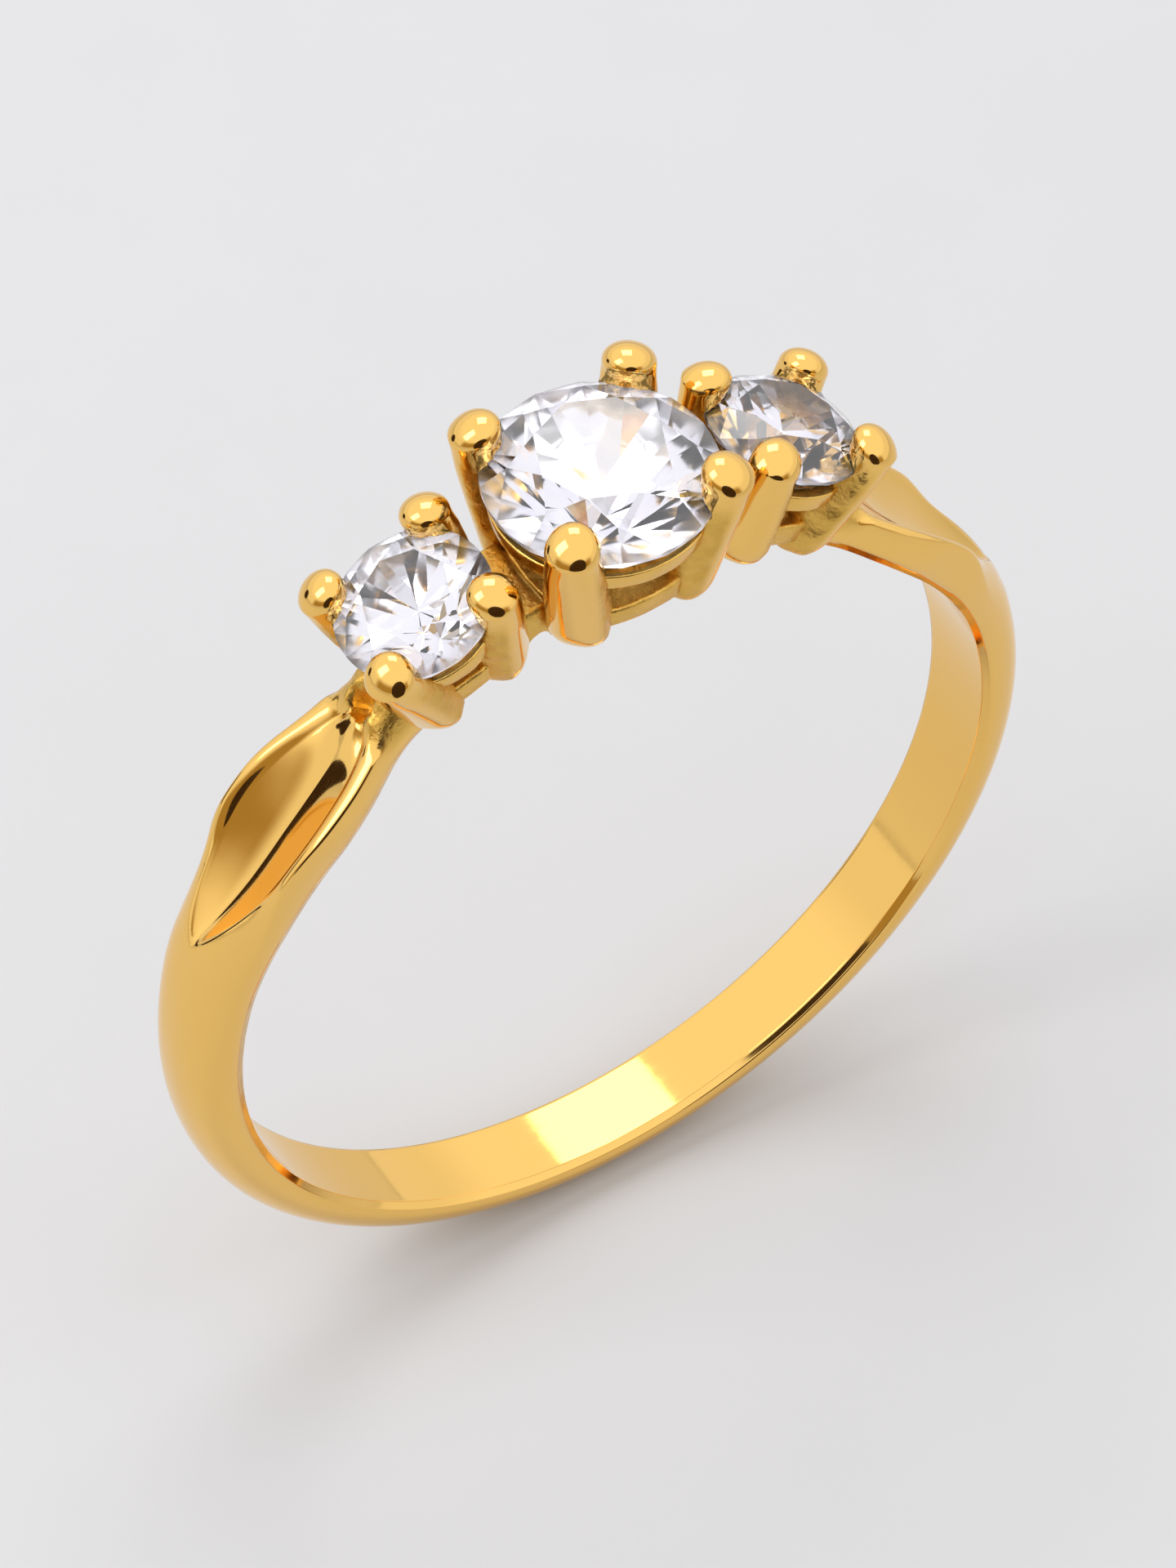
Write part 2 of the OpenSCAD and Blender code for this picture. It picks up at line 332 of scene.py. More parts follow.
@dataclass(frozen=True)
class GemFinish:
    """A clear stone with polished facets, faint veils inside and a ground girdle.

    The point attribute ground says how much of the girdle's ground finish a place has.

    Attributes:
        name: The material's name.
        colour: Colour of the clear stone.
        veil: Colour of its faintly tinted places.
        refraction: Refractive index.
        marks: Greatest roughness of a polished facet.
        ground_polish: Roughness of the ground girdle.
    """

    name: str
    colour: Colour = (0.96, 0.955, 0.975, 1.0)
    veil: Colour = (0.86, 0.83, 0.94, 1.0)
    refraction: float = 2.15
    marks: float = 0.012
    ground_polish: float = 0.3

    def material(self) -> Material:
        """Build the material and return it."""
        graph, shader = start_graph(self.name)
        place = graph.place_mm()
        ground = graph.add("ShaderNodeAttribute", attribute_name="ground").outputs["Fac"]
        veils = graph.spread(graph.noise(place, scale=1.3, detail=2.0), low=0.0, high=1.0)
        marks = graph.spread(graph.noise(place, scale=5.0, detail=2.0), low=0.0, high=self.marks)
        graph.feed(
            shader,
            Base_Color=graph.blend(veils, self.colour, self.veil, "RGBA"),
            Roughness=graph.blend(ground, marks, self.ground_polish),
            IOR=self.refraction,
            Transmission_Weight=1.0,
        )
        return graph.material


@dataclass(frozen=True)
class PaperFinish:
    """Matt paper or felt with a barely seen fibre, as on the floor.

    Attributes:
        name: The material's name.
        colour: Colour of the paper.
        fibre: Colour of its fibres.
        matt: Roughness of the paper.
        gleam: How much of a gloss is left on it.
    """

    name: str
    colour: Colour = (0.6, 0.6, 0.6, 1.0)
    fibre: Colour = (0.585, 0.585, 0.585, 1.0)
    matt: float = 0.9
    gleam: float = 0.1

    def material(self) -> Material:
        """Build the material and return it."""
        graph, shader = start_graph(self.name)
        fibres = graph.noise(graph.place_mm(), scale=0.35, detail=4.0)
        paper = graph.blend(fibres, self.colour, self.fibre, "RGBA")
        graph.feed(shader, Base_Color=paper, Roughness=self.matt, Specular_IOR_Level=self.gleam)
        return graph.material


# ---- Pieces ----


@dataclass
class Bench:
    """Where finished pieces are dressed and set down.

    Attributes:
        gold: The gold material.
        gem: The stone material.
    """

    gold: Material
    gem: Material

    def set_down(self, mesh: bmesh.types.BMesh, node: str, slot: Slot, sharp: float) -> bpy.types.Object:
        """Turn a mesh in millimetres into the piece that stands for a CAD node.

        Args:
            mesh: The piece's mesh, which is used up.
            node: The CAD node it stands for.
            slot: The record's material slot.
            sharp: Angle between two faces, in degrees, above which their edge stays crisp.

        Returns:
            The finished piece.
        """
        bmesh.ops.scale(mesh, vec=(MM, MM, MM), verts=mesh.verts)
        bmesh.ops.recalc_face_normals(mesh, faces=mesh.faces)
        for face in mesh.faces:
            face.smooth = True
        for edge in mesh.edges:
            edge.smooth = edge.calc_face_angle(0.0) < math.radians(sharp)
        material = self.gold if slot is Slot.GOLD else self.gem
        piece = add_object(f"{node}_finished", mesh, material)
        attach(piece, BODY)
        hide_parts(node)
        LOG.info("%s: %d faces, %s", piece.name, len(piece.data.polygons), slot.value)
        return piece


@dataclass(frozen=True)
class Stretch:
    """A stretch of the band where something rises from start to full and falls from until to end."""

    start: float
    full: float
    until: float
    end: float

    def share(self, angle: float) -> float:
        """Return how much of it is there at an angle, from 0 to 1."""
        return ease(self.start, self.full, angle) * (1.0 - ease(self.until, self.end, angle))


@dataclass
class Shank:
    """The finger band, with a leaf-shaped hollow in each shoulder.

    Angles are in degrees from the bottom of the band, and lengths in millimetres.

    Attributes:
        half_w: Half the width of the band at its bottom.
        wall: Thickness of the band at its bottom.
        edge: Thickness of the band at its edges.
        lip: Width and height of the small corner at the edge of the finger hole.
        widen: How much half the width grows towards the head.
        thicken: How much the thickness grows towards the head.
        flatten: How much flatter than round the dome gets towards the head.
        tuck: How far the side runs in at its foot.
        shoulder_tuck: How far it runs in on the shoulder.
        sway: How far the shoulder leans to the front.
        swaying: Where it does so.
        shoulder: Where the shoulder's crisp edges are.
        slope_off: How far those edges fall towards the head.
        rim_fall: Share of that fall that the hollow's rim takes part in.
        end: Angle at which the band stops, under the head.
        neck: Where the band narrows to its neck.
        neck_w: Half the width of the neck.
        leaf_from: Angle of the hollow's lower tip.
        leaf_to: Angle of the hollow's upper tip.
        leaf_w: Half the width of the hollow.
        leaf_depth: Depth of the hollow's crease.
        facet_line: Share of a facet's climb that is straight, the rest being dished.
        rim_drop: How far the rim of the hollow stands below the crest.
        edge_drop: How far the outer edge of the land beside it stands below the crest.
        ridge_h: How far that land rises between rim and edge.
        land_to: Where the land ends on the band, as a share of half the width.
        shoulder_land_to: Where it ends on the shoulder.
        round_to: Share of the side that is still part of the dome.
        side_swell: How far the shoulder's side swells out.
        lump_h: Height of the lumps that were left by soldering.
        lumpy: Where they come.
        unpolished_and_shaded: Where the cast skin comes, with its painted shade.
        pit_at: Angle of the pit at the hollow's upper tip.
        pit_r: Radius of the pit.
        pit_depth: Depth of the pit.
        least_h: Least thickness that pit and lumps leave.
        facet_rows: Rows of points over one facet.
        land_rows: Rows over the land.
        side_rows: Rows over the side.
        inner_rows: Rows over half the inside.
        steps: Sections along the band.
        thread_r: Radius of the round thread that the band is shaped from.
        sharp: Angle above which an edge stays crisp.
    """

    half_w: float = 0.875
    wall: float = 1.01
    edge: float = 0.25
    lip: float = 0.04
    widen: float = 0.5
    thicken: float = 0.22
    flatten: float = 0.9
    tuck: float = 0.07
    shoulder_tuck: float = 0.1
    sway: float = 0.13
    swaying: Stretch = Stretch(103.0, 122.0, 138.0, 149.0)
    shoulder: Stretch = Stretch(106.0, 127.0, 143.0, 149.5)
    slope_off: float = 0.24
    rim_fall: float = 0.6
    end: float = 151.5
    neck: tuple[float, float] = (131.0, 150.0)
    neck_w: float = 0.78
    leaf_from: float = 110.5
    leaf_to: float = 148.0
    leaf_w: float = 0.93
    leaf_depth: float = 0.75
    facet_line: float = 0.4
    rim_drop: float = 0.33
    edge_drop: float = 0.17
    ridge_h: float = 0.07
    land_to: float = 0.965
    shoulder_land_to: float = 0.99
    round_to: float = 0.6
    side_swell: float = 0.04
    lump_h: float = 0.07
    lumpy: tuple[float, float] = (141.5, 147.0)
    unpolished_and_shaded: tuple[float, float] = (143.5, 147.5)
    pit_at: float = 147.2
    pit_r: float = 0.36
    pit_depth: float = 0.5
    least_h: float = 0.12
    facet_rows: int = 18
    land_rows: int = 10
    side_rows: int = 10
    inner_rows: int = 14
    steps: int = 560
    thread_r: float = 0.5
    sharp: float = 78.0

    def climb(self, angle: float) -> float:
        """Return the height at an angle, from 0 at the bottom to 1 at the head."""
        return (1.0 - math.cos(math.radians(angle))) / 2.0

    def width(self, angle: float) -> float:
        """Return half the width of the band at an angle."""
        full = self.half_w + self.widen * self.climb(angle) ** 2
        return mix(full, self.neck_w, ease(*self.neck, angle))

    def thick(self, angle: float) -> float:
        """Return the thickness of the band at an angle."""
        return self.wall + self.thicken * self.climb(angle)

    def along_leaf(self, angle: float) -> float:
        """Return the place along the hollow, from -1 at its lower tip to 1 at its upper one."""
        return (2.0 * angle - self.leaf_from - self.leaf_to) / (self.leaf_to - self.leaf_from)

    def dome(self, angle: float, y: float) -> float:
        """Return the height of the dome above the finger hole.

        Args:
            angle: Angle along the band.
            y: Distance from the middle of the band.

        Returns:
            The height of the dome there.
        """
        power = 2.0 + self.flatten * self.climb(angle) ** 2
        share = min(1.0, y / self.width(angle))
        return self.edge + (self.thick(angle) - self.edge) * (1.0 - share**power) ** (1.0 / power)

    def rim(self, angle: float) -> float:
        """Return how far the hollow's rim, or the row that carries it, stands from the middle."""
        place = abs(self.along_leaf(angle))
        if place < 1.0:
            return self.leaf_w * (1.0 - place**1.9) ** 0.9
        away = (place - 1.0) * (self.leaf_to - self.leaf_from) / 2.0
        return min(0.5 * self.width(angle), 0.09 * away)

    def facet_point(self, angle: float, share: float, rim_h: float) -> tuple[float, float]:
        """Find a point of the hollow's facet, or of the dome's middle beyond the hollow.

        Args:
            angle: Angle along the band.
            share: How far the point is from the crease to the rim, from 0 to 1.
            rim_h: Height of the rim above the finger hole.

        Returns:
            Its distance from the middle, and its height above the finger hole.
        """
        y = self.rim(angle) * share
        place = abs(self.along_leaf(angle))
        if place >= 1.0:
            return y, self.dome(angle, y)
        crease = self.dome(angle, 0.0) - self.leaf_depth * (1.0 - place**2.4)
        climbed = self.facet_line * share + (1.0 - self.facet_line) * share * share
        return y, mix(crease, rim_h, climbed)

    def section(self, angle: float, row: int) -> tuple[float, float]:
        """Find a point of the band's section.

        Args:
            angle: Angle along the band.
            row: Row round the section, from 0 at the crest to the last one inside.

        Returns:
            Its distance from the middle, and its height above the finger hole.
        """
        half, rim, top = self.width(angle), self.rim(angle), self.thick(angle)
        crisp = self.shoulder.share(angle)
        fall = self.slope_off * ease(self.shoulder.full, self.shoulder.until, angle)
        rim_h = mix(self.dome(angle, rim), top - self.rim_drop - self.rim_fall * fall, crisp)
        if row <= self.facet_rows:
            return self.facet_point(angle, row / self.facet_rows, rim_h)
        row -= self.facet_rows
        edge_y = mix(self.land_to, self.shoulder_land_to, crisp) * half
        edge_h = mix(self.dome(angle, edge_y), top - self.edge_drop - fall, crisp)
        edge_turn = math.asin(edge_y / half)
        if row <= self.land_rows:
            share = row / self.land_rows
            y = half * math.sin(mix(math.asin(rim / half), edge_turn, share))
            flat_y = mix(rim, edge_y, share)
            ridge = mix(rim_h, edge_h, share) + self.ridge_h * math.sin(math.pi * share)
            return mix(y, flat_y, crisp), mix(self.dome(angle, y), ridge, crisp)
        row -= self.land_rows
        bottom = half - mix(self.tuck, self.shoulder_tuck, crisp)
        if row < self.side_rows:
            share = row / (self.side_rows - 1)
            if share < self.round_to:
                round_y = half * math.sin(mix(edge_turn, math.pi / 2.0, share / self.round_to))
                round_h = self.dome(angle, round_y)
            else:
                below = (share - self.round_to) / (1.0 - self.round_to)
                round_y, round_h = mix(half, bottom, below), mix(self.edge, self.lip, below)
            line_y = mix(edge_y, bottom, share**1.6) + self.side_swell * math.sin(math.pi * share)
            line_h = mix(edge_h, self.lip, share)
            return mix(round_y, line_y, crisp), mix(round_h, line_h, crisp)
        row -= self.side_rows
        return (bottom - self.lip) * (1.0 - row / self.inner_rows), 0.0

    def roughen(self, angle: float, y: float, height: float) -> float:
        """Lower the metal where the band was joined to the head.

        Args:
            angle: Angle along the band.
            y: Distance from the middle of the band, with its sign.
            height: Height above the finger hole.

        Returns:
            The height with its pit and lumps.
        """
        spot = Vector((angle * 0.6, y * 5.0, 3.0))
        lumps = noise.noise(spot) * self.lump_h * ease(*self.lumpy, angle)
        away = math.hypot((angle - self.pit_at) * math.radians(1.0) * FINGER_R, y)
        pit = self.pit_depth * (1.0 - ease(0.4 * self.pit_r, self.pit_r, away))
        return max(self.least_h, height + (lumps - pit) * ease(0.3, 0.6, height))

    def build(self, bench: Bench) -> bpy.types.Object:
        """Spin a round thread, shape it row by row, and set it down on the bench."""
        mesh = bmesh.new()
        half_rows = self.facet_rows + self.land_rows + self.side_rows + self.inner_rows
        spine = FINGER_R + self.thread_r
        stand = Matrix.Rotation(math.radians(self.end), 4, "Y") @ Matrix.Translation((0.0, 0.0, -spine))
        stand = stand @ Matrix.Rotation(math.radians(90.0), 4, "Y")
        bmesh.ops.create_circle(mesh, segments=2 * half_rows, radius=self.thread_r, matrix=stand)
        spin_all(mesh, "Y", -2.0 * self.end, self.steps)
        cast_and_shade = mesh.verts.layers.float.new("cast_and_shade")
        for vert in mesh.verts:
            x, y, z = vert.co
            reach = math.hypot(x, z)
            row = round(abs(math.atan2(y, reach - spine)) / math.pi * half_rows)
            angle = abs(math.degrees(math.atan2(x, -z)))
            away, height = self.section(angle, row)
            side = math.copysign(away, y)
            height = self.roughen(angle, side, height)
            if row >= half_rows - self.inner_rows:
                height = 0.0
            grow = (FINGER_R + height) / reach
            side -= self.sway * self.swaying.share(angle)
            vert.co = (x * grow, side, z * grow)
            # Cast skin near the joint with the head, its colour darkened there as painted shade round the
            # pit and lumps.
            vert[cast_and_shade] = ease(*self.unpolished_and_shaded, angle) * ease(0.3, 0.7, height)
        rims = [edge for edge in mesh.edges if edge.is_boundary]
        bmesh.ops.holes_fill(mesh, edges=rims, sides=0)
        bmesh.ops.remove_doubles(mesh, verts=mesh.verts, dist=WELD)
        return bench.set_down(mesh, "shank", Slot.GOLD, self.sharp)


@dataclass
class Brilliant:
    """A round brilliant, cut facet by facet from a round blank with its girdle at z = 0.

    Attributes:
        node: The CAD node that it stands for.
        stone_d: Diameter of the stone, in millimetres.
        table: Width of the table, as a share of the diameter.
        star: Reach of the star facets, as a share of the radius.
        lower: Reach of the lower halves, as a share of the radius.
        crown_angle: Angle of the crown mains, in degrees.
        pavilion_angle: Angle of the pavilion mains, in degrees.
        girdle: Height of the girdle, as a share of the diameter.
        ground: How much of the ground finish the girdle has.
        blank_sides: Sides of the blank.
        mains: Number of mains on each half.
        sharp: Angle above which an edge stays crisp, in degrees.
    """

    node: str
    stone_d: float
    table: float = 0.57
    star: float = 0.78
    lower: float = 0.26
    crown_angle: float = 34.5
    pavilion_angle: float = 40.8
    girdle: float = 0.03
    ground: float = 0.6
    blank_sides: int = 96
    mains: int = 8
    sharp: float = 4.5

    @property
    def stone_r(self) -> float:
        """Return the stone's radius."""
        return self.stone_d / 2.0

    @property
    def half_girdle(self) -> float:
        """Return half the girdle's height."""
        return self.girdle * self.stone_r

    def crown_z(self, reach: float) -> float:
        """Return the height of a crown main at a reach from the axis."""
        return self.half_girdle + (self.stone_r - reach) * math.tan(math.radians(self.crown_angle))

    def pavilion_z(self, reach: float) -> float:
        """Return the height of a pavilion main at a reach from the axis."""
        return -self.half_girdle - (self.stone_r - reach) * math.tan(math.radians(self.pavilion_angle))

    def cut(
        self, mesh: bmesh.types.BMesh, turn: float, near: tuple[float, float], far: tuple[float, float]
    ) -> None:
        """Grind one facet flat.

        Args:
            mesh: The stone.
            turn: Direction that the facet faces, in degrees.
            near: Reach and height of a point of the facet, nearer to the axis.
            far: Reach and height of a point of the facet, further from the axis.
        """
        slope = Vector((far[0] - near[0], 0.0, far[1] - near[1]))
        normal = Vector((-slope.z, 0.0, slope.x))
        if normal.x < 0.0:
            normal.negate()
        spin = Matrix.Rotation(math.radians(turn), 3, "Z")
        result = bmesh.ops.bisect_plane(
            mesh,
            geom=mesh.verts[:] + mesh.edges[:] + mesh.faces[:],
            dist=1e-6,
            plane_co=spin @ Vector((far[0], 0.0, far[1])),
            plane_no=spin @ normal,
            clear_outer=True,
        )
        rims = [item for item in result["geom_cut"] if isinstance(item, bmesh.types.BMEdge)]
        if rims:
            bmesh.ops.contextual_create(mesh, geom=rims)

    def build(self, bench: Bench, place: Matrix) -> bpy.types.Object:
        """Cut the stone.

        Args:
            bench: Where the piece is set down.
            place: Matrix that carries it from its girdle to its seat.

        Returns:
            The stone.
        """
        mesh = bmesh.new()
        top, tip = self.crown_z(self.table * self.stone_r), self.pavilion_z(0.0)
        bmesh.ops.create_cone(
            mesh,
            cap_ends=True,
            segments=self.blank_sides,
            radius1=self.stone_r,
            radius2=self.stone_r,
            depth=top - tip,
            matrix=Matrix.Translation((0.0, 0.0, (top + tip) / 2.0)),
        )
        step = 360.0 / self.mains
        half, quarter = math.cos(math.radians(step / 2.0)), math.cos(math.radians(step / 4.0))
        radius, girdle = self.stone_r, self.half_girdle
        star_r, lower_r = self.star * radius, self.lower * radius
        star_z, lower_z = self.crown_z(star_r * half), self.pavilion_z(lower_r * half)
        for index in range(self.mains):
            turn = index * step
            self.cut(mesh, turn, (self.table * radius, top), (radius, girdle))
            self.cut(mesh, turn, (0.0, tip), (radius, -girdle))
        for index in range(self.mains):
            turn = index * step
            self.cut(mesh, turn + step / 2.0, (self.table * radius * half, top), (star_r, star_z))
            for side in (-1.0, 1.0):
                facing = turn + side * step / 4.0
                self.cut(mesh, facing, (star_r * quarter, star_z), (radius * quarter, girdle))
                self.cut(mesh, facing, (lower_r * quarter, lower_z), (radius * quarter, -girdle))
        ground = mesh.verts.layers.float.new("ground")
        bmesh.ops.recalc_face_normals(mesh, faces=mesh.faces)
        for face in mesh.faces:
            if abs(face.normal.z) < 0.05:
                for vert in face.verts:
                    vert[ground] = self.ground
        bmesh.ops.transform(mesh, matrix=place, verts=mesh.verts)
        return bench.set_down(mesh, self.node, Slot.STONE, self.sharp)


@dataclass
class Collet:
    """Four claws, a gallery rail and a base rail round one stone.

    Each is shaped on the Z axis with its girdle at z = 0, then carried to its seat. Lengths are in
    millimetres and angles in degrees.

    Attributes:
        name: The first word of its CAD nodes' names.
        side: The side of the ring that it stands on.
        stone_d: Diameter of the stone.
        wire: Width of a claw.
        lift: Height of the girdle above the finger hole.
        claws: Direction of each claw from the stone, by the last words of its CAD node's name.
        tilt: Tilt of the collet to the right.
        claw_out: How far a claw's middle stands outside the stone at its tip.
        tip_share: Height of a claw's tip, as a share of the stone's diameter.
        lean: Lean of the claws.
        seat_gap: Gap between stone and metal.
        gallery_drop: How far the gallery rail hangs below the girdle.
        gallery_h: Height of the gallery rail.
        gallery_inset: How far it stands inside the stone's outline.
        gallery_skin_and_shade: Its share of cast skin, with its painted shade.
        base_rise: Height of the base rail above the finger hole.
        base_h: Height of the base rail.
        base_wall: Thickness of the base rail.
        base_skin_and_shade: Its share of cast skin, with its painted shade.
        scallop: How far the base rail is drawn in between two claws.
        claw_rows: Rows of points along a claw.
        claw_sides: Points round a claw.
        turns: Sections round a rail.
    """

    name: str
    side: Side
    stone_d: float
    wire: float
    lift: float
    claws: dict[str, float]
    tilt: float = 0.0
    claw_out: float = 0.16
    tip_share: float = 0.11
    lean: float = 14.0
    seat_gap: float = 0.02
    gallery_drop: float = 0.42
    gallery_h: float = 0.4
    gallery_inset: float = 0.1
    gallery_skin_and_shade: float = 0.45
    base_rise: float = 0.42
    base_h: float = 0.55
    base_wall: float = 0.8
    base_skin_and_shade: float = 0.85
    scallop: float = 0.14
    claw_rows: int = 64
    claw_sides: int = 48
    turns: int = 128

    @property
    def place(self) -> Matrix:
        """Return the matrix that carries the collet from its girdle to its seat."""
        turn = Matrix.Rotation(math.radians(self.tilt), 4, "Y")
        return turn @ Matrix.Translation((0.0, 0.0, FINGER_R + self.lift))

    @property
    def stone(self) -> Brilliant:
        """Return the collet's stone."""
        return Brilliant(f"{self.name}_stone", self.stone_d)

    def stone_reach(self, height: float) -> float:
        """Return how far the stone reaches from its axis at a height above its girdle."""
        stone = self.stone
        if height > stone.half_girdle:
            drop = (height - stone.half_girdle) / math.tan(math.radians(stone.crown_angle))
            table = stone.table * stone.stone_r
            reach = stone.stone_r - drop
            return reach if reach > table else 0.0
        if height < -stone.half_girdle:
            drop = (-height - stone.half_girdle) / math.tan(math.radians(stone.pavilion_angle))
            return max(0.0, stone.stone_r - drop)
        return stone.stone_r

    @property
    def tip_h(self) -> float:
        """Return the height of a claw's tip above the girdle."""
        return self.tip_share * self.stone_d

    def claw_reach(self, height: float) -> float:
        """Return the distance of a claw's middle from the axis at a height above the girdle."""
        tip_reach = self.stone_d / 2.0 + self.claw_out
        return tip_reach - (self.tip_h - height) * math.tan(math.radians(self.lean))

    def claw(self, bench: Bench, word: str, turn: float) -> bpy.types.Object:
        """Shape a ball into a claw: round foot, flattened shaft and a burnished bead.

        Args:
            bench: Where the piece is set down.
            word: The words for its place, as in its CAD node's name.
            turn: Direction of the claw from the stone, in degrees.

        Returns:
            The claw.
        """
        mesh = bmesh.new()
        bmesh.ops.create_uvsphere(mesh, u_segments=self.claw_sides, v_segments=self.claw_rows, radius=1.0)
        cast_and_shade = mesh.verts.layers.float.new("cast_and_shade")
        spin = Matrix.Rotation(math.radians(turn), 3, "Z")
        foot, tip_h, quarter = -self.lift, self.tip_h, math.pi / 2.0
        foot_h, bead_h = 0.7 * self.wire, 0.46 * self.wire
        foot_to, bead_from = 0.2, 0.7
        seed = turn + 100.0 * self.side.value
        for vert in mesh.verts:
            row = math.asin(max(-1.0, min(1.0, vert.co.z))) / math.pi + 0.5
            around = math.atan2(vert.co.y, vert.co.x)
            bead, shrink = 0.0, self.wire
            if row < foot_to:
                rise = row / foot_to * quarter
                height = foot + foot_h * (1.0 - math.cos(rise))
                shrink *= math.sin(rise) ** 0.7
            elif row < bead_from:
                rise = (row - foot_to) / (bead_from - foot_to)
                height = mix(foot + foot_h, tip_h, rise)
            else:
                rise = (row - bead_from) / (1.0 - bead_from) * quarter
                bead = math.sin(rise)
                height = tip_h + bead_h * bead
                shrink *= math.cos(rise)
            rounded = ease(tip_h - 0.8 * self.wire, tip_h, height)
            power = mix(2.5, 2.0, rounded)
            across = mix(0.52, 0.6, ease(tip_h, tip_h - 1.6 * self.wire, height)) * shrink
            outward = mix(0.49, 0.47, rounded) * shrink
            inward = mix(0.84, 0.5, ease(-0.55 * self.lift, -0.1, height)) * shrink
            face = math.cos(around)
            x = self.claw_reach(min(height, tip_h)) - 0.18 * self.wire * bead
            x += (outward if face > 0.0 else inward) * squared(face, power)
            y = across * squared(math.sin(around), power)
            # Cast skin on the claw's inner face and sides below the bead; its darker colour there is
            # painted shade.
            skin_and_shade = (1.0 - ease(0.35, 0.75, face)) * (1.0 - rounded)
            lump = noise.noise(Vector((x * 4.0, y * 4.0 + seed, height * 4.0)))
            y += 0.03 * skin_and_shade * lump * math.copysign(1.0, y)
            point = spin @ Vector((x, y, height))
            keep_out = self.stone_reach(height) + self.seat_gap
            reach = math.hypot(point.x, point.y)
            if keep_out > self.seat_gap and reach < keep_out:
                point.x *= keep_out / reach
                point.y *= keep_out / reach
            vert.co = point
            vert[cast_and_shade] = skin_and_shade
        bmesh.ops.transform(mesh, matrix=self.place, verts=mesh.verts)
        return bench.set_down(mesh, f"{self.name}_claw_{word}", Slot.GOLD, SOFT_TURN)

    def hoop(self, corners: list[tuple[float, float]], soft: float) -> bmesh.types.BMesh:
        """Spin a closed outline into a hoop with softened edges.

        Args:
            corners: Reach and height of each corner of the outline.
            soft: How far each edge is softened.

        Returns:
            The hoop's mesh.
        """
        mesh = bmesh.new()
        points = [mesh.verts.new((reach, 0.0, height)) for reach, height in corners]
        for index, point in enumerate(points):
            mesh.edges.new((point, points[index - 1]))
        soften(mesh, points, soft, 3)
        spin_all(mesh, "Z", 360.0, self.turns)
        bmesh.ops.remove_doubles(mesh, verts=mesh.verts, dist=WELD)
        return mesh

    def dress_hoop(self, mesh: bmesh.types.BMesh, scallop: float, skin_and_shade: float) -> None:
        """Draw a hoop in between the claws and give it a cast skin, darkened as painted shade.

        Args:
            mesh: The hoop.
            scallop: How far its outside is drawn in between two claws.
            skin_and_shade: Its share of cast skin and painted shade.
        """
        cast_and_shade = mesh.verts.layers.float.new("cast_and_shade")
        for vert in mesh.verts:
            x, y, z = vert.co
            reach = math.hypot(x, y)
            between = (1.0 + math.cos(4.0 * math.atan2(y, x))) / 2.0
            lump = noise.noise(Vector((x * 3.0, y * 3.0, z * 3.0 + self.side.value)))
            grow = (reach - scallop * between + 0.02 * lump) / reach
            vert.co = (x * grow, y * grow, z + 0.015 * lump)
            vert[cast_and_shade] = skin_and_shade

    def gallery_rail(self, bench: Bench) -> bpy.types.Object:
        """Build the upper rail, whose seat follows the stone, and set it down on the bench."""
        outer = self.stone_d / 2.0 - self.gallery_inset
        top, low = -self.gallery_drop, -self.gallery_drop - self.gallery_h
        room = self.seat_gap + 0.04
        inner, seat = self.stone_reach(low) + room, self.stone_reach(top) + room
        corners = [(outer, top), (outer - 0.06, low), (inner, low), (min(seat, outer - 0.12), top)]
        mesh = self.hoop(corners, soft=0.05)
        self.dress_hoop(mesh, 0.0, self.gallery_skin_and_shade)
        bmesh.ops.transform(mesh, matrix=self.place, verts=mesh.verts)
        return bench.set_down(mesh, f"{self.name}_gallery_rail", Slot.GOLD, SOFT_TURN)

    def base_rail(self, bench: Bench) -> bpy.types.Object:
        """Build the lower rail, drawn in between the claws, and set it down on the bench."""
        low = self.base_rise - self.lift
        top = low + self.base_h
        outer = self.claw_reach(top) + 0.02
        inner = outer - self.base_wall
        corners = [(outer, top), (outer - 0.08, low), (inner, low), (inner, top)]
        mesh = self.hoop(corners, soft=0.1)
        self.dress_hoop(mesh, self.scallop, self.base_skin_and_shade)
        bmesh.ops.transform(mesh, matrix=self.place, verts=mesh.verts)
        return bench.set_down(mesh, f"{self.name}_base_rail", Slot.GOLD, SOFT_TURN)

    def build(self, bench: Bench) -> list[bpy.types.Object]:
        """Build the stone, its claws and its rails, and set them down on the bench."""
        pieces = [self.stone.build(bench, self.place)]
        pieces += [self.claw(bench, word, turn) for word, turn in self.claws.items()]
        return pieces + [self.gallery_rail(bench), self.base_rail(bench)]


